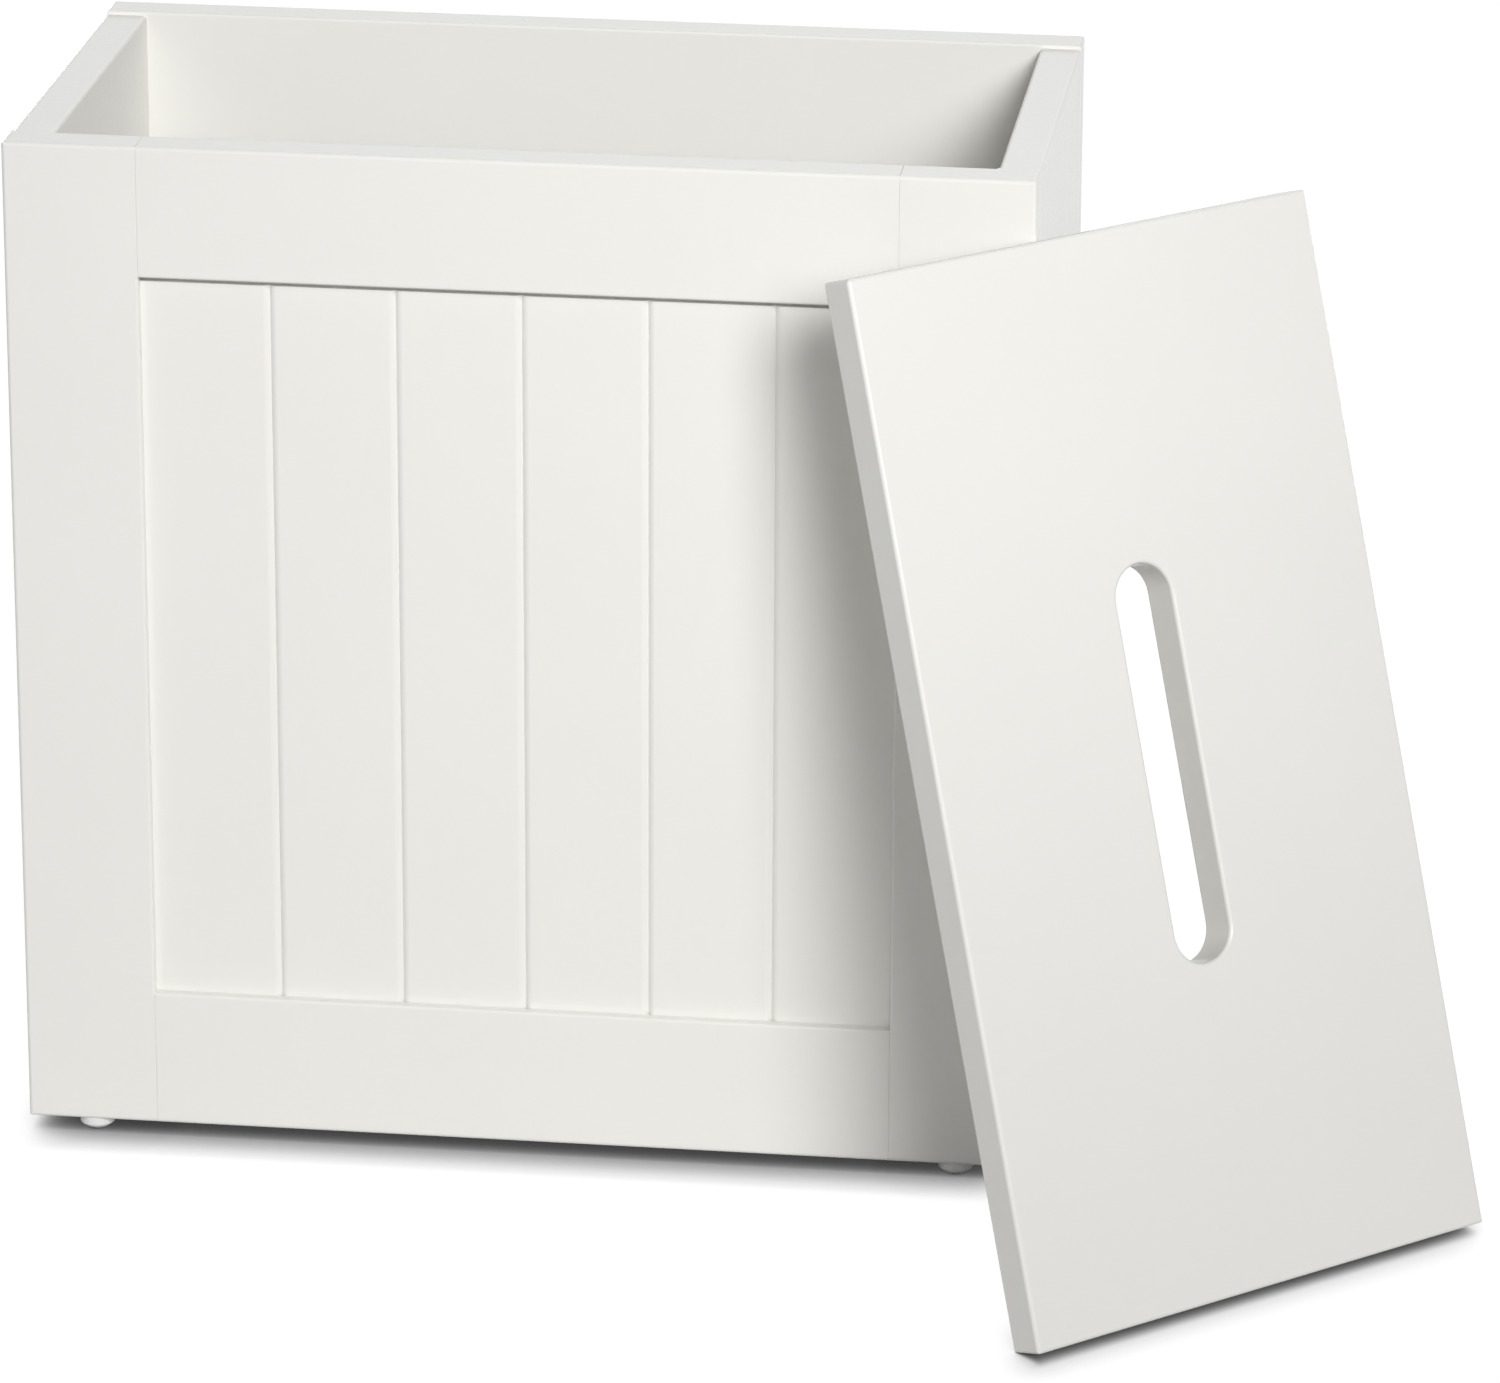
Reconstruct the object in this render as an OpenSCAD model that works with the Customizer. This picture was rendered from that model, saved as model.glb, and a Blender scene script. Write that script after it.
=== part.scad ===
// Toilet roll storage cabinet with a lift-off lid, in millimetres.
// The origin is in the middle of the cabinet's flat underside. The front faces -Y, +Z is up.
// The lid is shown taken off: it stands on one short end and leans on the right front corner.

/* [Carcass] */
// Overall width of the cabinet
body_w = 305; // [260:1:420]
// Overall depth of the cabinet
body_d = 166; // [140:1:260]
// Height of the cabinet, without its glides
body_h = 309.5; // [240:0.5:460]
// Thickness of the side boards
side_t = 12.7; // [11:0.1:18]
// Thickness of the back board
back_t = 12.7; // [11:0.1:18]
// Thickness of the base board
base_t = 12.7; // [9:0.1:18]
// How far the side boards' top edges lie below the front frame and the back board
side_drop = 1.2; // [0:0.1:3]

/* [Front frame] */
// Thickness of the stiles and rails
frame_t = 12.7; // [11:0.1:18]
// Width of each upright stile
stile_w = 40; // [30:0.5:60]
// Height of the top rail
top_rail_h = 40; // [36:0.5:70]
// Height of the bottom rail
bottom_rail_h = 42.5; // [36:0.5:70]

/* [Front panel] */
// Thickness of the front panel
panel_t = 6; // [4:0.5:6.5]
// How far the panel's face lies behind the frame's face
panel_recess = 3.5; // [1.5:0.5:4]
// How deep the panel's edges sit in the frame's groove
panel_tongue = 6; // [4:0.5:8]
// Free space between the panel's edge and the bottom of the frame's groove
panel_edge_gap = 0.5; // [0.2:0.1:1]
// Free space between the panel's faces and the sides of the frame's groove
panel_face_gap = 0.15; // [0.05:0.05:0.3]
// Number of boards that the grooved face looks like
plank_count = 6; // [4:1:9]
// Width of a groove at the surface
groove_w = 4.2; // [2.6:0.2:5]
// Depth of a groove
groove_depth = 1.2; // [0.6:0.1:1.2]
// How far the grooves lie right of an even spacing in the opening
groove_shift = 1.1; // [-3:0.1:3]
// Height of the shadow gap along the panel's top, measured down from the top rail
shadow_gap_h = 1.8; // [0.8:0.1:3]
// Depth of the shadow gap in the panel's face
shadow_gap_depth = 2.2; // [1:0.1:3]

/* [Edges] */
// Radius of the outer edges of the boards
edge_r = 1.2; // [0.6:0.1:2]
// Radius of the frame's edges around the front panel
opening_r = 0.8; // [0.4:0.1:1.2]
// Radius of the edges where two boards meet flush
joint_r = 0.25; // [0.1:0.05:0.5]

/* [Lid] */
// Thickness of the lid
lid_t = 12.7; // [11:0.1:18]
// How far the lid stands out past each side of the cabinet
lid_overhang = 3.4; // [0:0.2:8]
// Length of the hand slot, with its round ends
slot_l = 118; // [90:1:150]
// Width of the hand slot
slot_w = 20; // [18:1:32]
// Radius of the hand slot's rims
slot_rim_r = 1.2; // [0.5:0.1:2]
// Width of each batten under the lid
batten_w = 18; // [12:1:24]
// Thickness of each batten under the lid
batten_t = 9; // [6:0.5:12]
// Free space around the battens when the lid is on the cabinet
batten_gap = 1.5; // [0.5:0.1:3]

/* [Lid taken off] */
// Turn of the lid about the upright axis, from the line of the cabinet's front
lid_yaw = 42.2; // [30:0.1:55]
// Lean of the lid from upright
lid_lean = 18.3; // [10:0.1:25]
// Distance along the lid's top end from its left edge to the cabinet's corner
lean_contact = 75.5; // [60:0.5:100]
// Gap between the leaning lid and the cabinet's corner
lean_gap = 0.3; // [0.2:0.1:1]

/* [Glides] */
// Diameter of a glide
glide_d = 10.6; // [8:0.1:11]
// Height of a glide
glide_h = 4.2; // [3.5:0.1:8]
// Diameter of the glide's flat foot
glide_foot_d = 6.2; // [5.6:0.2:7.4]
// Distance from the cabinet's side to a glide's middle
glide_inset = 20; // [12:1:26]
// Diameter of a glide nail
nail_d = 1.8; // [1.4:0.1:2.2]
// Diameter of a glide nail's head
nail_head_d = 4; // [3:0.2:4.4]
// Depth of a glide nail in the board
nail_depth = 12; // [8:1:16]

/* [Dowels and screws] */
// Diameter of a dowel
dowel_d = 6; // [4:0.5:7]
// Length of a dowel
dowel_l = 24; // [20:1:30]
// Depth of a dowel in the board whose side it enters
dowel_face_depth = 8; // [6:0.5:9]
// Distance from a rail's outer edge to its first dowel
dowel_inset = 11; // [8:0.5:12]
// Distance between the two dowels at a rail's end
dowel_spacing = 16; // [12:0.5:16]
// Distance from the cabinet's top and bottom to the end dowels and screws of the sides
fixing_inset = 45; // [30:1:60]
// Diameter of a back board screw
screw_d = 3.5; // [3:0.5:4]
// Length of a back board screw
screw_l = 32; // [26:1:40]
// Diameter of a batten screw
batten_screw_d = 3; // [2.5:0.5:3.5]
// Length of a batten screw
batten_screw_l = 16; // [13:0.5:17]
// Distance from a batten's end to its first screw
batten_screw_inset = 30; // [15:1:50]

/* [Hidden] */
$fn = 64;

// How far a cutting shape reaches past the face it cuts
over = 1;
// Free space around a dowel, nail or screw in its hole
hole_fit = 0.05;
// Free length past the end of a dowel, nail or screw in its hole
hole_end_gap = 0.5;
// Length of a dowel's chamfer
dowel_chamfer = 0.8;
// How far a screw's head lies below the surface
screw_sink = 0.2;
// Head diameter of a screw as a multiple of its own diameter
screw_head_ratio = 2;
// Length of a screw's pointed tip as a multiple of its diameter
screw_tip_ratio = 1.2;
// Height of the glide's dome, below its upright rim
dome_h = 0.38 * glide_h;
// Thickness of a glide nail's head, and how far it lies up in the glide
nail_head_t = 0.9;
nail_head_sink = 0.5;
// Free space around a nail's head in the glide
nail_head_gap = 0.2;

white = [0.93, 0.93, 0.92];
nylon = [0.96, 0.96, 0.95];
beech = [0.80, 0.66, 0.46];
zinc = [0.75, 0.75, 0.76];

x_side = body_w / 2;
y_front = -body_d / 2;
y_back = body_d / 2;
z_bottom = 0;
z_top = z_bottom + body_h;
z_middle = (z_bottom + z_top) / 2;
z_floor = z_bottom - glide_h;

inner_w = body_w - 2 * side_t;
inner_d = body_d - frame_t - back_t;
y_inner_front = y_front + frame_t;
y_inner_middle = y_inner_front + inner_d / 2;
z_base_middle = z_bottom + base_t / 2;
y_frame_middle = y_front + frame_t / 2;
y_back_middle = y_back - back_t / 2;
x_side_middle = x_side - side_t / 2;

opening_w = body_w - 2 * stile_w;
z_opening_low = z_bottom + bottom_rail_h;
z_opening_high = z_top - top_rail_h;
y_panel = y_front + panel_recess;
tongue = panel_tongue - panel_edge_gap;
plank_w = opening_w / plank_count;

frame_dowel_z = [
    z_bottom + dowel_inset, z_bottom + dowel_inset + dowel_spacing,
    z_top - dowel_inset - dowel_spacing, z_top - dowel_inset
];
side_fixing_z = [z_bottom + fixing_inset, z_middle, z_top - fixing_inset];
base_screw_x = [-inner_w / 3, 0, inner_w / 3];
base_dowel_x = [-inner_w / 4, inner_w / 4];
base_dowel_y = [y_inner_middle - inner_d / 4, y_inner_middle + inner_d / 4];

// The lid covers the whole top of the cabinet and is flush with its front and back
lid_l = body_w + 2 * lid_overhang;
lid_w = body_d;
batten_l = inner_w - 2 * batten_gap;
y_front_batten = y_inner_front + batten_gap;
y_rear_batten = y_back - back_t - batten_gap - batten_w;
batten_screw_x = [-batten_l / 2 + batten_screw_inset, 0, batten_l / 2 - batten_screw_inset];

// Upright plane directions of the leaning lid: along its short end, and away from its seen face
lid_along = [cos(lid_yaw), sin(lid_yaw)];
lid_behind = [-sin(lid_yaw), cos(lid_yaw)];
// Middle of the rounding of the cabinet's right front corner
lean_corner = [x_side - edge_r, y_front + edge_r];
// Floor place and height of the middle of the leaning lid's underside
lid_side_offset = lean_corner * lid_along - lean_contact + lid_w / 2;
lid_height = z_floor + lid_l / 2 * cos(lid_lean) - edge_r * (cos(lid_lean) + sin(lid_lean) - 1);
lid_end_z = lid_height + (lid_l / 2 - edge_r) * cos(lid_lean) + edge_r * sin(lid_lean);
rim_z = z_top - edge_r;
// A short lid leans with its end on the cabinet's upright edge, a long one leans on the rim
lid_back_offset = lean_corner * lid_behind - (lid_end_z < rim_z
    ? 2 * edge_r + lean_gap + (lid_l / 2 - edge_r) * sin(lid_lean) - edge_r * cos(lid_lean)
    : (edge_r + lean_gap) / cos(lid_lean) + (rim_z - lid_height) * tan(lid_lean));
lid_place = concat(lid_side_offset * lid_along + lid_back_offset * lid_behind, lid_height);

// What is cut away to round an edge that runs up from the origin, with the board at +X +Y
module edge_cut(length, r, past = over) {
    translate([0, 0, -past])
        linear_extrude(length + 2 * past)
            difference() {
                translate([-over, -over]) square(r + over);
                translate([r, r]) circle(r);
            }
}

// Board with its low corner at the origin. Each list holds the radii of the four edges along
// one axis, in the order low low, high low, high high, low high of the other two axes
module board(size, along_x = [0, 0, 0, 0], along_y = [0, 0, 0, 0], along_z = [0, 0, 0, 0]) {
    difference() {
        cube(size);
        for (corner = [0:3]) {
            a = corner == 1 || corner == 2 ? 1 : 0;
            b = corner >= 2 ? 1 : 0;
            if (along_x[corner] > 0)
                translate([0, a * size.y, b * size.z])
                    mirror([0, a, 0]) mirror([0, 0, b])
                        rotate([90, 0, 90]) edge_cut(size.x, along_x[corner]);
            if (along_y[corner] > 0)
                translate([a * size.x, 0, b * size.z])
                    mirror([a, 0, 0]) mirror([0, 0, b])
                        mirror([0, 1, 0]) rotate([90, 0, 0]) edge_cut(size.y, along_y[corner]);
            if (along_z[corner] > 0)
                translate([a * size.x, b * size.y, 0])
                    mirror([a, 0, 0]) mirror([0, b, 0]) edge_cut(size.z, along_z[corner]);
        }
    }
}

// A dowel across a joint at the origin, with its short part up in the board whose side it enters
module dowel() {
    translate([0, 0, dowel_face_depth - dowel_l]) {
        cylinder(h = dowel_chamfer, r1 = dowel_d / 2 - dowel_chamfer / 2, r2 = dowel_d / 2);
        translate([0, 0, dowel_chamfer]) cylinder(h = dowel_l - 2 * dowel_chamfer, d = dowel_d);
        translate([0, 0, dowel_l - dowel_chamfer])
            cylinder(h = dowel_chamfer, r1 = dowel_d / 2, r2 = dowel_d / 2 - dowel_chamfer / 2);
    }
}

module dowel_hole() {
    translate([0, 0, dowel_face_depth - dowel_l - hole_end_gap])
        cylinder(h = dowel_l + 2 * hole_end_gap, d = dowel_d + 2 * hole_fit);
}

// A countersunk screw that goes down from a surface at the origin
module screw(d, length) {
    head_d = d * screw_head_ratio;
    head_h = (head_d - d) / 2;
    tip_h = d * screw_tip_ratio;
    recess_w = d / 4;
    translate([0, 0, -screw_sink])
        difference() {
            union() {
                translate([0, 0, -head_h]) cylinder(h = head_h, d1 = d, d2 = head_d);
                translate([0, 0, tip_h - length]) cylinder(h = length - tip_h - head_h, d = d);
                translate([0, 0, -length]) cylinder(h = tip_h, d1 = d / 4, d2 = d);
            }
            for (turn = [0, 90])
                rotate(turn)
                    translate([-head_d / 4, -recess_w / 2, -head_h / 2])
                        cube([head_d / 2, recess_w, head_h / 2 + over]);
        }
}

module screw_hole(d, length) {
    head_d = d * screw_head_ratio;
    head_h = (head_d - d) / 2;
    translate([0, 0, -screw_sink - length - hole_end_gap])
        cylinder(h = length + hole_end_gap + screw_sink + over, d = d + 2 * hole_fit);
    translate([0, 0, -screw_sink - head_h])
        cylinder(h = head_h, d1 = d + 2 * hole_fit, d2 = head_d + 2 * hole_fit);
    translate([0, 0, -screw_sink]) cylinder(h = screw_sink + over, d = head_d + 2 * hole_fit);
}

module at_frame_dowels() {
    for (side = [-1, 1], z = frame_dowel_z)
        translate([side * opening_w / 2, y_frame_middle, z]) rotate([0, side * 90, 0]) children();
}

module at_side_dowels() {
    for (side = [-1, 1], z = side_fixing_z)
        translate([side * x_side_middle, y_inner_front, z]) rotate([90, 0, 0]) children();
}

module at_base_dowels() {
    for (side = [-1, 1], y = base_dowel_y)
        translate([side * inner_w / 2, y, z_base_middle]) rotate([0, side * 90, 0]) children();
    for (x = base_dowel_x)
        translate([x, y_inner_front, z_base_middle]) rotate([90, 0, 0]) children();
}

module at_back_screws() {
    for (side = [-1, 1], z = side_fixing_z)
        translate([side * x_side_middle, y_back, z]) rotate([-90, 0, 0]) children();
    for (x = base_screw_x)
        translate([x, y_back, z_base_middle]) rotate([-90, 0, 0]) children();
}

module at_glide(side, y) {
    translate([side * (x_side - glide_inset), y, z_floor]) children();
}

module at_glides() {
    for (side = [-1, 1], y = [y_frame_middle, y_back_middle]) at_glide(side, y) children();
}

module nail_hole() {
    translate([0, 0, glide_h - over])
        cylinder(h = nail_depth + hole_end_gap + over, d = nail_d + 2 * hole_fit);
}

// Every hole that the cabinet's fasteners need, cut from each board that they reach
module fastener_holes() {
    at_frame_dowels() dowel_hole();
    at_side_dowels() dowel_hole();
    at_base_dowels() dowel_hole();
    at_back_screws() screw_hole(screw_d, screw_l);
    at_glides() nail_hole();
}

// The groove round the frame's inner edges that holds the panel
module panel_groove() {
    translate([-opening_w / 2 - panel_tongue, y_panel - panel_face_gap, z_opening_low - panel_tongue])
        cube([
            opening_w + 2 * panel_tongue,
            panel_t + 2 * panel_face_gap,
            z_opening_high - z_opening_low + 2 * panel_tongue
        ]);
}

module left_side_board() {
    color(white)
        difference() {
            translate([-x_side, y_inner_front, z_bottom])
                board(
                    [side_t, inner_d, body_h - side_drop],
                    along_y = [edge_r, 0, edge_r, edge_r],
                    along_z = [joint_r, 0, 0, joint_r]
                );
            fastener_holes();
        }
}

module right_side_board() {
    mirror([1, 0, 0]) left_side_board();
}

module back_board() {
    color(white)
        difference() {
            translate([-x_side, y_back - back_t, z_bottom])
                board(
                    [body_w, back_t, body_h],
                    along_x = [0, edge_r, edge_r, opening_r],
                    along_y = [edge_r, edge_r, edge_r, edge_r],
                    along_z = [joint_r, joint_r, edge_r, edge_r]
                );
            fastener_holes();
        }
}

module base_board() {
    color(white)
        difference() {
            translate([-inner_w / 2, y_inner_front, z_bottom]) cube([inner_w, inner_d, base_t]);
            fastener_holes();
        }
}

module left_stile() {
    color(white)
        difference() {
            translate([-x_side, y_front, z_bottom])
                board(
                    [stile_w, frame_t, body_h],
                    along_x = [edge_r, 0, 0, edge_r],
                    along_y = [edge_r, joint_r, joint_r, edge_r],
                    along_z = [edge_r, joint_r, 0, joint_r]
                );
            translate([-opening_w / 2, y_front, z_opening_low])
                mirror([1, 0, 0])
                    edge_cut(z_opening_high - z_opening_low, opening_r, past = 0);
            translate([-inner_w / 2, y_inner_front, z_top])
                mirror([0, 1, 0]) mirror([0, 0, 1])
                    rotate([90, 0, 90]) edge_cut(stile_w - side_t + over, edge_r, past = 0);
            panel_groove();
            fastener_holes();
        }
}

module right_stile() {
    mirror([1, 0, 0]) left_stile();
}

module top_rail() {
    color(white)
        difference() {
            translate([-opening_w / 2, y_front, z_opening_high])
                board(
                    [opening_w, frame_t, top_rail_h],
                    along_x = [opening_r, opening_r, edge_r, edge_r],
                    along_y = [0, 0, joint_r, joint_r],
                    along_z = [joint_r, joint_r, 0, 0]
                );
            panel_groove();
            fastener_holes();
        }
}

module bottom_rail() {
    color(white)
        difference() {
            translate([-opening_w / 2, y_front, z_bottom])
                board(
                    [opening_w, frame_t, bottom_rail_h],
                    along_x = [edge_r, 0, opening_r, opening_r],
                    along_y = [joint_r, joint_r, 0, 0],
                    along_z = [joint_r, joint_r, 0, 0]
                );
            panel_groove();
            fastener_holes();
        }
}

// What is cut away for a V-groove with rounded sides that runs up from the origin, with the board at +Y
module groove_cut(length) {
    groove_r = (groove_w ^ 2 / 4 + groove_depth ^ 2) / (2 * groove_depth);
    translate([0, 0, -over])
        linear_extrude(length + 2 * over)
            difference() {
                translate([-groove_w / 2, -over]) square([groove_w, over + groove_r]);
                translate([-groove_w / 2, groove_r]) circle(groove_r);
                translate([groove_w / 2, groove_r]) circle(groove_r);
            }
}

module front_panel() {
    panel_w = opening_w + 2 * tongue;
    panel_h = z_opening_high - z_opening_low + 2 * tongue;
    color(white)
        difference() {
            translate([-panel_w / 2, y_panel, z_opening_low - tongue])
                cube([panel_w, panel_t, panel_h]);
            for (i = [1:plank_count - 1])
                translate([i * plank_w - opening_w / 2 + groove_shift, y_panel, z_opening_low - tongue])
                    groove_cut(panel_h);
            translate([-panel_w / 2 - over, y_panel - over, z_opening_high - shadow_gap_h])
                cube([panel_w + 2 * over, shadow_gap_depth + over, shadow_gap_h]);
        }
}

// Domed foot with a flat underside, and a recess there for the nail's head
module glide() {
    rim_r = glide_d / 2;
    foot_r = glide_foot_d / 2;
    dome_z = (rim_r ^ 2 - foot_r ^ 2 + dome_h ^ 2) / (2 * dome_h);
    dome_r = sqrt(foot_r ^ 2 + dome_z ^ 2);
    head_hole_r = nail_head_d / 2 + nail_head_gap;
    head_hole_top = nail_head_sink + nail_head_t + hole_fit;
    color(nylon)
        rotate_extrude()
            difference() {
                intersection() {
                    square([rim_r, glide_h]);
                    translate([0, dome_z]) circle(dome_r);
                }
                translate([-over, -over]) square([nail_d / 2 + hole_fit + over, glide_h + 2 * over]);
                translate([-over, -over]) square([head_hole_r + over, head_hole_top + over]);
            }
}

module front_left_glide() {
    at_glide(-1, y_frame_middle) glide();
}

module front_right_glide() {
    at_glide(1, y_frame_middle) glide();
}

module rear_left_glide() {
    at_glide(-1, y_back_middle) glide();
}

module rear_right_glide() {
    at_glide(1, y_back_middle) glide();
}

module glide_nails() {
    color(zinc)
        at_glides() {
            translate([0, 0, nail_head_sink]) cylinder(h = nail_head_t, d = nail_head_d);
            translate([0, 0, nail_head_sink])
                cylinder(h = glide_h - nail_head_sink + nail_depth, d = nail_d);
        }
}

module frame_dowels() {
    color(beech) at_frame_dowels() dowel();
}

module side_dowels() {
    color(beech) at_side_dowels() dowel();
}

module base_dowels() {
    color(beech) at_base_dowels() dowel();
}

module back_screws() {
    color(zinc) at_back_screws() screw(screw_d, screw_l);
}

// From the lid lying on the cabinet, with its underside's middle at the origin, to where it leans
module leaning() {
    translate(lid_place) rotate([0, lid_lean - 90, lid_yaw + 90]) children();
}

module at_batten_screws() {
    for (y = [y_front_batten, y_rear_batten], x = batten_screw_x)
        translate([x, y + batten_w / 2, -batten_t]) rotate([180, 0, 0]) children();
}

// What rounds the slot's rim on the face at the origin, with the lid above it
module slot_rim_cut() {
    straight = slot_l - slot_w;
    for (side = [-1, 1]) {
        translate([-straight / 2, side * slot_w / 2, 0])
            mirror([0, (1 - side) / 2, 0])
                rotate([90, 0, 90]) edge_cut(straight, slot_rim_r, past = 0);
        translate([side * straight / 2, 0, 0])
            rotate(-side * 90)
                rotate_extrude(angle = 180)
                    translate([slot_w / 2, 0])
                        difference() {
                            translate([-over, -over]) square(slot_rim_r + over);
                            translate([slot_rim_r, slot_rim_r]) circle(slot_rim_r);
                        }
    }
}

module hand_slot() {
    translate([0, 0, -over])
        linear_extrude(lid_t + 2 * over) {
            square([slot_l - slot_w, slot_w], center = true);
            for (side = [-1, 1]) translate([side * (slot_l - slot_w) / 2, 0]) circle(d = slot_w);
        }
    slot_rim_cut();
    translate([0, 0, lid_t]) mirror([0, 0, 1]) slot_rim_cut();
}

module lid_board() {
    all_round = [edge_r, edge_r, edge_r, edge_r];
    color(white)
        leaning()
            difference() {
                translate([-lid_l / 2, -lid_w / 2, 0])
                    board([lid_l, lid_w, lid_t], along_x = all_round, along_y = all_round, along_z = all_round);
                hand_slot();
                at_batten_screws() screw_hole(batten_screw_d, batten_screw_l);
            }
}

module batten(y) {
    below = [joint_r, joint_r, 0, 0];
    color(white)
        leaning()
            difference() {
                translate([-batten_l / 2, y, -batten_t])
                    board([batten_l, batten_w, batten_t], along_x = below, along_y = below);
                at_batten_screws() screw_hole(batten_screw_d, batten_screw_l);
            }
}

module lid_front_batten() {
    batten(y_front_batten);
}

module lid_rear_batten() {
    batten(y_rear_batten);
}

module batten_screws() {
    color(zinc) leaning() at_batten_screws() screw(batten_screw_d, batten_screw_l);
}

left_side_board();
right_side_board();
back_board();
base_board();
left_stile();
right_stile();
top_rail();
bottom_rail();
front_panel();
front_left_glide();
front_right_glide();
rear_left_glide();
rear_right_glide();
glide_nails();
frame_dowels();
side_dowels();
base_dowels();
back_screws();
lid_board();
lid_front_batten();
lid_rear_batten();
batten_screws();
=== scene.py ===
"""Toilet roll storage cabinet: its surfaces, floor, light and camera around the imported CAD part.

Lengths are in metres and angles in degrees. An azimuth of 0 is the front and 90 the right.
"""

import math

import bpy
from mathutils import Matrix, Vector

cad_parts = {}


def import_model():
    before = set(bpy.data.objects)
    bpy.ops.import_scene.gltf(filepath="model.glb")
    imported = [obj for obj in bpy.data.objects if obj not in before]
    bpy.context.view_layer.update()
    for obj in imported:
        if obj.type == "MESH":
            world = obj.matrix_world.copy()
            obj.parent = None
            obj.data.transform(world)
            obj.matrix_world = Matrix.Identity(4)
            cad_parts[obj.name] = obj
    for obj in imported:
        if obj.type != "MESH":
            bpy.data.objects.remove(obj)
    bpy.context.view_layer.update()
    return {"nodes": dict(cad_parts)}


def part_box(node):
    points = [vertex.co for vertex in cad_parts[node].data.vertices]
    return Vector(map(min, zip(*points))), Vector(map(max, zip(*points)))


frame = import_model()

NODES = frame["nodes"]
FLOOR_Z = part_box("front_left_glide")[0].z

PAINTED = [
    "left_side_board", "right_side_board", "back_board", "base_board",
    "left_stile", "right_stile", "top_rail", "bottom_rail", "front_panel",
    "lid_board", "lid_front_batten", "lid_rear_batten",
]
GLIDES = ["front_left_glide", "front_right_glide", "rear_left_glide", "rear_right_glide"]
DOWELS = ["frame_dowels", "side_dowels", "base_dowels"]
METAL = ["back_screws", "batten_screws", "glide_nails"]

# Blender's noise runs from 0 to 1, but nearly all of it lies between these two.
NOISE_LOW = 0.25
NOISE_HIGH = 0.75

# The painted shadow on the floor, drawn by ambient occlusion into what is seen of it: how far out
# it reaches, how fast it fades, how far its rays to the left and right are turned from upright,
# and how many rays find it.
PAINTED_SHADOW_REACH = 0.021
PAINTED_SHADOW_FADE = 2.2
PAINTED_SHADOW_TILT = 60
PAINTED_SHADOW_RAYS = 24

# The floor: half its length, the grey that throws light back, and what is seen of it. That is a
# glow from dark in full painted shadow to white outside it, and a faint grey that the lamps light,
# which the painted shadow darkens too.
FLOOR_HALF = 30.0
FLOOR_PALE = 0.62
FLOOR_PAINTED_SHADOW_DARK = 0.02
FLOOR_SHOWN_WHITE = 0.97
FLOOR_SHOWN_LIT = 0.1

# The near lamps are aimed at these, between the cabinet and the lid: at the height of the
# cabinet's top, and at half of it.
AIM_HIGH = Vector((0.05, -0.05, 0.3))
AIM_LOW = Vector((0.05, -0.05, 0.15))

# The camera looks at this point in the plane of the cabinet's front. Its focal length is in
# pixels of the photograph, whose width it has to fill.
LOOK_AT = Vector((0.06967, -0.083, 0.14916))
CAMERA_AZIMUTH = 7.019
CAMERA_ELEVATION = 19.753
CAMERA_ROLL = 0.275
CAMERA_DISTANCE = 2.24058
FOCAL_PIXELS = 7547.35
PHOTO_PIXELS = 1500
SENSOR_MM = 36.0


# ---------------------------------------------------------------- nodes

def mapped(tree, scale=(1, 1, 1)):
    """The object's own coordinates, scaled."""
    coord = tree.nodes.new("ShaderNodeTexCoord")
    mapping = tree.nodes.new("ShaderNodeMapping")
    mapping.inputs["Scale"].default_value = scale
    tree.links.new(coord.outputs["Object"], mapping.inputs["Vector"])
    return mapping.outputs["Vector"]


def noise(tree, vector, scale, detail=2):
    node = tree.nodes.new("ShaderNodeTexNoise")
    node.inputs["Scale"].default_value = scale
    node.inputs["Detail"].default_value = detail
    tree.links.new(vector, node.inputs["Vector"])
    return node.outputs["Fac"]


def span(tree, value, low, high, from_low=NOISE_LOW, from_high=NOISE_HIGH):
    """value moved from its own span to low..high."""
    node = tree.nodes.new("ShaderNodeMapRange")
    node.inputs["From Min"].default_value = from_low
    node.inputs["From Max"].default_value = from_high
    node.inputs["To Min"].default_value = low
    node.inputs["To Max"].default_value = high
    tree.links.new(value, node.inputs["Value"])
    return node.outputs["Result"]


def mix_colour(tree, factor, a, b):
    node = tree.nodes.new("ShaderNodeMix")
    node.data_type = "RGBA"
    tree.links.new(factor, node.inputs["Factor"])
    node.inputs["A"].default_value = (*a, 1)
    node.inputs["B"].default_value = (*b, 1)
    return node.outputs["Result"]


def mix_shader(tree, factor, a, b):
    mix = tree.nodes.new("ShaderNodeMixShader")
    tree.links.new(factor, mix.inputs["Fac"])
    tree.links.new(a, mix.inputs[1])
    tree.links.new(b, mix.inputs[2])
    return mix.outputs[0]


def bump(tree, height, distance, under=None):
    """Relief of that depth, on top of the relief of under."""
    node = tree.nodes.new("ShaderNodeBump")
    node.inputs["Distance"].default_value = distance
    tree.links.new(height, node.inputs["Height"])
    if under is not None:
        tree.links.new(under, node.inputs["Normal"])
    return node.outputs["Normal"]


def math_node(tree, operation, a, b):
    """a and b joined by that operation. b is an output or a number."""
    node = tree.nodes.new("ShaderNodeMath")
    node.operation = operation
    tree.links.new(a, node.inputs[0])
    if isinstance(b, float):
        node.inputs[1].default_value = b
    else:
        tree.links.new(b, node.inputs[1])
    return node.outputs[0]


def grey(level):
    return (level, level, level)


# ---------------------------------------------------------------- materials

def new_material(name):
    """A material with a Principled shader on its output, and its node tree."""
    mat = bpy.data.materials.new(name)
    mat.use_nodes = True
    tree = mat.node_tree
    tree.nodes.clear()
    out = tree.nodes.new("ShaderNodeOutputMaterial")
    bsdf = tree.nodes.new("ShaderNodeBsdfPrincipled")
    tree.links.new(bsdf.outputs["BSDF"], out.inputs["Surface"])
    return mat, tree, bsdf


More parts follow.
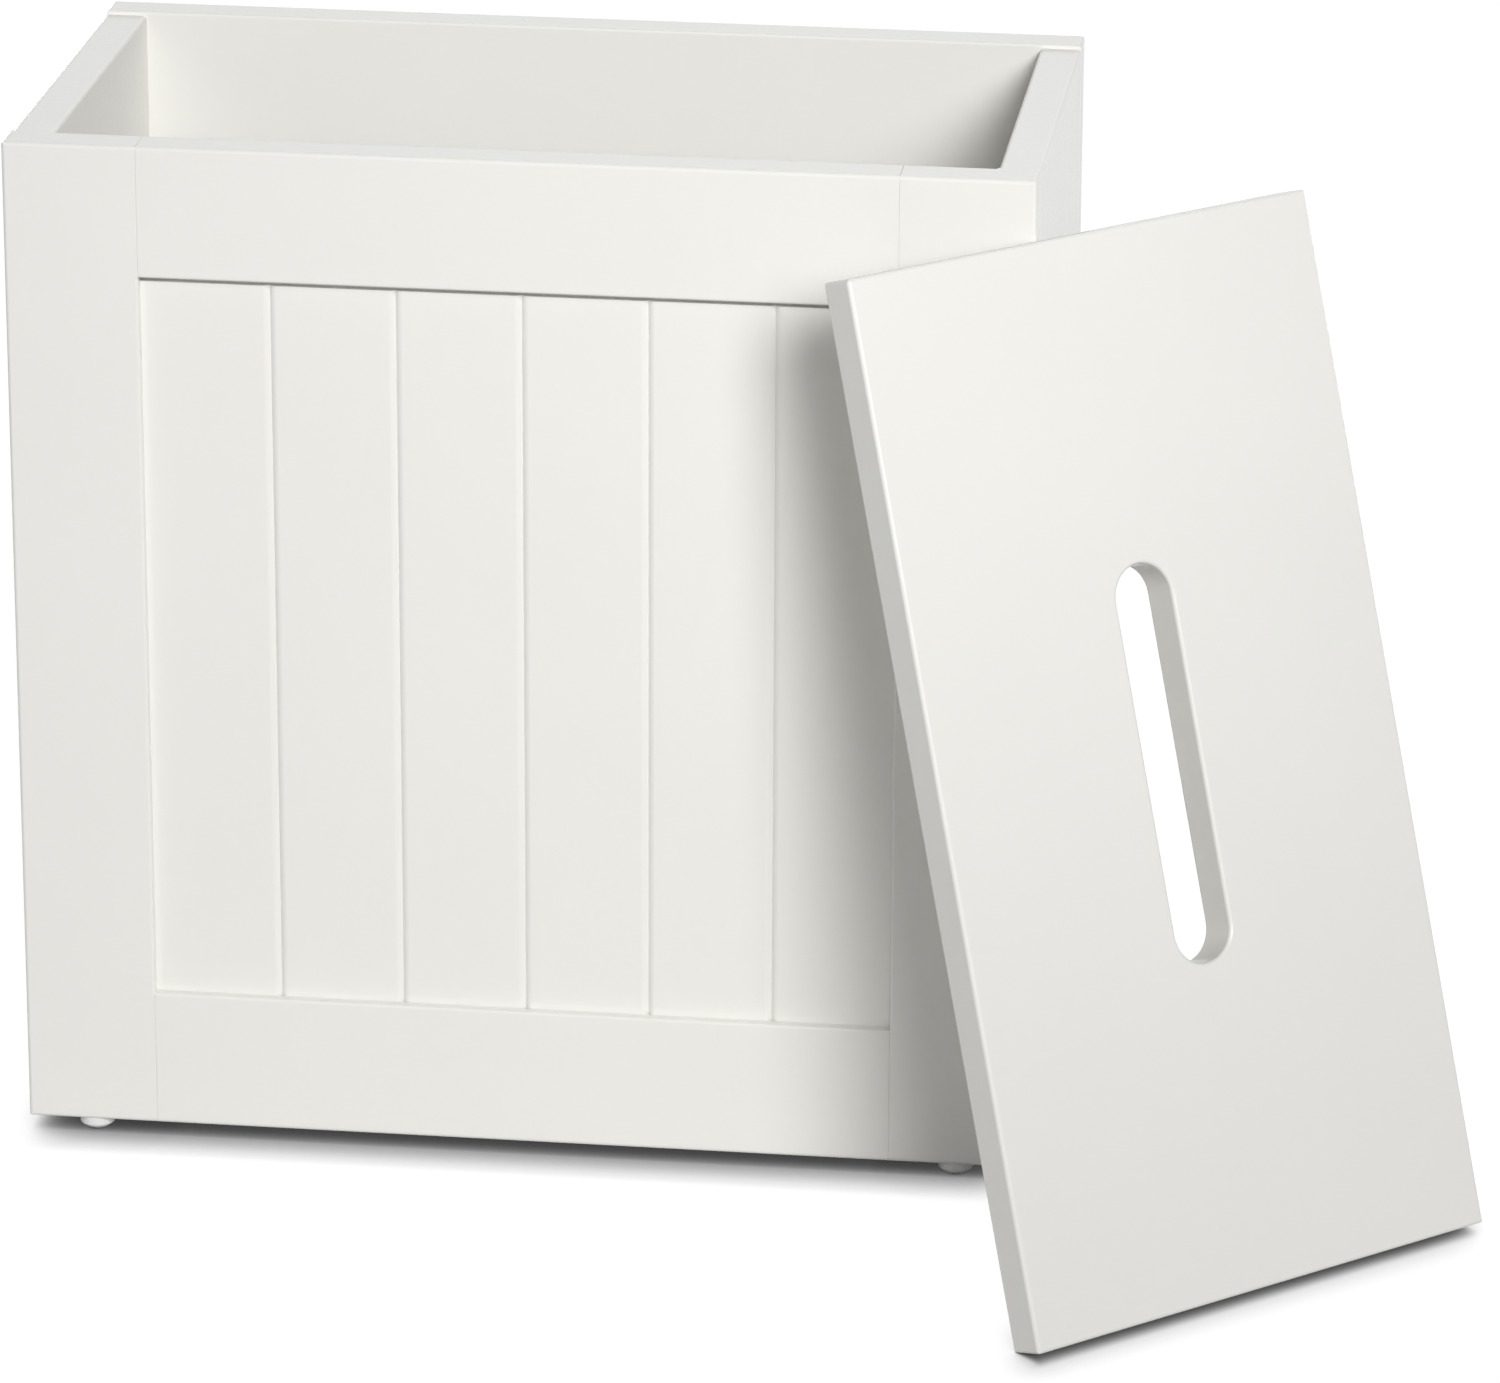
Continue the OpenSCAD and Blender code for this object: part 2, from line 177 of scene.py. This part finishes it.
def satin_paint():
    """Sprayed satin white over fibreboard: orange peel, fine grain, slight clouding."""
    mat, tree, bsdf = new_material("satin_white_paint")
    at = mapped(tree)
    clouds = span(tree, noise(tree, at, scale=14, detail=3), 0, 1)
    colour = mix_colour(tree, clouds, (0.852, 0.844, 0.808), (0.866, 0.858, 0.822))
    tree.links.new(colour, bsdf.inputs["Base Color"])
    fine = noise(tree, at, scale=900)
    tree.links.new(span(tree, fine, low=0.17, high=0.24), bsdf.inputs["Roughness"])
    peel = bump(tree, noise(tree, at, scale=330), distance=0.00004)
    grain = noise(tree, at, scale=1600, detail=3)
    tree.links.new(bump(tree, grain, distance=0.000012, under=peel), bsdf.inputs["Normal"])
    return mat


def nylon():
    """Moulded white plastic of the glides."""
    mat, tree, bsdf = new_material("moulded_white_nylon")
    at = mapped(tree)
    clouds = span(tree, noise(tree, at, scale=160), 0, 1)
    colour = mix_colour(tree, clouds, (0.80, 0.80, 0.79), (0.84, 0.84, 0.83))
    tree.links.new(colour, bsdf.inputs["Base Color"])
    grain = noise(tree, at, scale=2200, detail=3)
    tree.links.new(span(tree, grain, low=0.28, high=0.40), bsdf.inputs["Roughness"])
    tree.links.new(bump(tree, grain, distance=0.00001), bsdf.inputs["Normal"])
    bsdf.inputs["Subsurface Weight"].default_value = 0.15
    bsdf.inputs["Subsurface Radius"].default_value = (0.002, 0.002, 0.002)
    return mat


def zinc():
    """Zinc plated steel of the screws and nails: dull patches and a fine grain."""
    mat, tree, bsdf = new_material("zinc_plated_steel")
    at = mapped(tree)
    patches = noise(tree, at, scale=700, detail=3)
    colour = mix_colour(tree, span(tree, patches, 0, 1), (0.50, 0.51, 0.53), (0.66, 0.66, 0.67))
    tree.links.new(colour, bsdf.inputs["Base Color"])
    bsdf.inputs["Metallic"].default_value = 1.0
    tree.links.new(span(tree, patches, low=0.26, high=0.42), bsdf.inputs["Roughness"])
    grain = noise(tree, at, scale=4000)
    tree.links.new(bump(tree, grain, distance=0.000006), bsdf.inputs["Normal"])
    return mat


def beech():
    """Bare beech of the dowels: pale grain drawn out along x."""
    mat, tree, bsdf = new_material("bare_beech")
    grain = noise(tree, mapped(tree, scale=(60, 900, 900)), scale=1, detail=4)
    colour = mix_colour(tree, span(tree, grain, 0, 1), (0.50, 0.33, 0.18), (0.66, 0.47, 0.28))
    tree.links.new(colour, bsdf.inputs["Base Color"])
    bsdf.inputs["Roughness"].default_value = 0.62
    tree.links.new(bump(tree, grain, distance=0.00004), bsdf.inputs["Normal"])
    return mat


def dress(names, material):
    for name in names:
        mesh = NODES[name].data
        mesh.materials.clear()
        mesh.materials.append(material)


dress(PAINTED, satin_paint())
dress(GLIDES, nylon())
dress(METAL, zinc())
dress(DOWELS, beech())


# ---------------------------------------------------------------- floor

def seen_ray(tree):
    """1 for the rays that show the background: camera, glossy and transmission rays."""
    path = tree.nodes.new("ShaderNodeLightPath")
    camera_or_glossy = math_node(
        tree, "MAXIMUM", path.outputs["Is Camera Ray"], path.outputs["Is Glossy Ray"])
    return math_node(tree, "MAXIMUM", camera_or_glossy, path.outputs["Is Transmission Ray"])


def unshaded_share(tree, side):
    """How open the floor is to that side (-1 left, 1 right), from 0 in full painted shadow to 1.

    This is ambient occlusion with its rays turned from upright; it paints the shadow and is no
    lamp.
    The rays turned under the floor never hit, so that share counts as 0 here and an open floor as
    1.
    """
    turn = math.radians(PAINTED_SHADOW_TILT)
    near = tree.nodes.new("ShaderNodeAmbientOcclusion")
    near.samples = PAINTED_SHADOW_RAYS
    near.inputs["Distance"].default_value = PAINTED_SHADOW_REACH
    towards = tree.nodes.new("ShaderNodeCombineXYZ")
    towards.inputs["X"].default_value = side * math.sin(turn)
    towards.inputs["Z"].default_value = math.cos(turn)
    tree.links.new(towards.outputs[0], near.inputs["Normal"])
    under_floor = (1 - math.cos(turn)) / 2
    return span(tree, near.outputs["AO"], 0, 1, from_low=under_floor, from_high=1)


def floor():
    """Plain pale floor. Where it is seen it is white, with a painted shadow close round the
    object.
    """
    half = FLOOR_HALF
    corners = [(-half, -half), (half, -half), (half, half), (-half, half)]
    mesh = bpy.data.meshes.new("floor")
    mesh.from_pydata([(x, y, FLOOR_Z) for x, y in corners], [], [(0, 1, 2, 3)])
    obj = bpy.data.objects.new("floor", mesh)
    bpy.context.scene.collection.objects.link(obj)
    mat = bpy.data.materials.new("pale_floor_painted_shadow")
    mat.use_nodes = True
    tree = mat.node_tree
    tree.nodes.clear()
    out = tree.nodes.new("ShaderNodeOutputMaterial")
    pale = tree.nodes.new("ShaderNodeBsdfDiffuse")
    pale.inputs["Color"].default_value = (*grey(FLOOR_PALE), 1)
    # Painted shadow: ambient occlusion from the left and the right, made steeper, darkens the
    # floor's glow and its lit grey near the object.
    lit = math_node(tree, "MAXIMUM", unshaded_share(tree, -1), unshaded_share(tree, 1))
    light = math_node(tree, "POWER", lit, PAINTED_SHADOW_FADE)
    shaded = tree.nodes.new("ShaderNodeBsdfDiffuse")
    painted_shadow_grey = mix_colour(tree, light, grey(0), grey(FLOOR_SHOWN_LIT))
    tree.links.new(painted_shadow_grey, shaded.inputs["Color"])
    white = tree.nodes.new("ShaderNodeEmission")
    # The glow is painted from dark in the shadow to white outside it.
    painted_shadow_glow = mix_colour(tree, light, grey(FLOOR_PAINTED_SHADOW_DARK), grey(FLOOR_SHOWN_WHITE))
    tree.links.new(painted_shadow_glow, white.inputs["Color"])
    shown = tree.nodes.new("ShaderNodeAddShader")
    tree.links.new(shaded.outputs[0], shown.inputs[0])
    tree.links.new(white.outputs[0], shown.inputs[1])
    surface = mix_shader(tree, seen_ray(tree), pale.outputs[0], shown.outputs[0])
    tree.links.new(surface, out.inputs["Surface"])
    mesh.materials.append(mat)


floor()


# ---------------------------------------------------------------- light

def world(strength):
    """Even light of that strength, seen as plain white."""
    studio = bpy.data.worlds.new("studio")
    bpy.context.scene.world = studio
    studio.use_nodes = True
    tree = studio.node_tree
    tree.nodes.clear()
    out = tree.nodes.new("ShaderNodeOutputWorld")
    light = tree.nodes.new("ShaderNodeBackground")
    light.inputs["Color"].default_value = (1, 1, 1, 1)
    light.inputs["Strength"].default_value = strength
    shown = tree.nodes.new("ShaderNodeBackground")
    shown.inputs["Color"].default_value = (1, 1, 1, 1)
    surface = mix_shader(tree, seen_ray(tree), light.outputs[0], shown.outputs[0])
    tree.links.new(surface, out.inputs["Surface"])


def way_to(azimuth, elevation):
    """The direction from the object to what stands at that azimuth and elevation."""
    a, e = math.radians(azimuth), math.radians(elevation)
    return Vector((math.sin(a) * math.cos(e), -math.cos(a) * math.cos(e), math.sin(e)))


def add_lamp(name, lamp, azimuth, elevation):
    """A lamp's object, turned to shine from there."""
    obj = bpy.data.objects.new(name, lamp)
    obj.rotation_euler = way_to(azimuth, elevation).to_track_quat("Z", "Y").to_euler()
    bpy.context.scene.collection.objects.link(obj)
    return obj


def far_lamp(name, azimuth, elevation, strength, spread):
    """A distant soft lamp."""
    lamp = bpy.data.lights.new(name, "SUN")
    lamp.energy = strength
    lamp.angle = math.radians(spread)
    add_lamp(name, lamp, azimuth, elevation)


def near_lamp(name, azimuth, elevation, strength, distance, size, cone):
    """A soft spot aimed high, so that its light falls off down the front."""
    lamp = bpy.data.lights.new(name, "SPOT")
    lamp.shadow_soft_size = size / 2
    lamp.spot_size = math.radians(cone)
    lamp.spot_blend = 1.0
    lamp.energy = strength * 4 * math.pi * distance ** 2
    obj = add_lamp(name, lamp, azimuth, elevation)
    obj.location = AIM_HIGH + way_to(azimuth, elevation) * distance


def strip_lamp(name, azimuth, strength, distance, width, height):
    """A level strip of light, lower than the cabinet's top, so that it doesn't graze the edges."""
    lamp = bpy.data.lights.new(name, "AREA")
    lamp.shape = "RECTANGLE"
    lamp.size = width
    lamp.size_y = height
    lamp.energy = strength * math.pi * distance ** 2
    obj = add_lamp(name, lamp, azimuth, elevation=0)
    obj.location = AIM_LOW + way_to(azimuth, elevation=0) * distance


world(0.13)
far_lamp("key", azimuth=22, elevation=25, strength=1.645, spread=24)
far_lamp("rim", azimuth=180, elevation=40, strength=0.495, spread=60)
far_lamp("fill", azimuth=-60, elevation=15, strength=0.315, spread=50)
near_lamp("spot", azimuth=24, elevation=28, strength=1.28, distance=1.5, size=0.5, cone=36)
strip_lamp("back_left", azimuth=-140, strength=1.2, distance=3.0, width=1.6, height=0.26)
strip_lamp("back_right", azimuth=140, strength=0.3, distance=3.0, width=1.6, height=0.26)


# ---------------------------------------------------------------- camera

def camera():
    """The photograph's view."""
    cam = bpy.data.cameras.new("camera")
    cam.sensor_fit = "HORIZONTAL"
    cam.sensor_width = SENSOR_MM
    cam.lens = FOCAL_PIXELS * SENSOR_MM / PHOTO_PIXELS
    cam.clip_start = 0.05
    cam.clip_end = 100.0
    obj = bpy.data.objects.new("camera", cam)
    turn = (
        Matrix.Rotation(math.radians(CAMERA_AZIMUTH), 4, "Z")
        @ Matrix.Rotation(math.radians(90 - CAMERA_ELEVATION), 4, "X")
        @ Matrix.Rotation(math.radians(CAMERA_ROLL), 4, "Z")
    )
    eye = LOOK_AT + way_to(CAMERA_AZIMUTH, CAMERA_ELEVATION) * CAMERA_DISTANCE
    obj.matrix_world = Matrix.Translation(eye) @ turn
    bpy.context.scene.collection.objects.link(obj)
    bpy.context.scene.camera = obj


camera()

bpy.context.scene.view_settings.view_transform = "Standard"
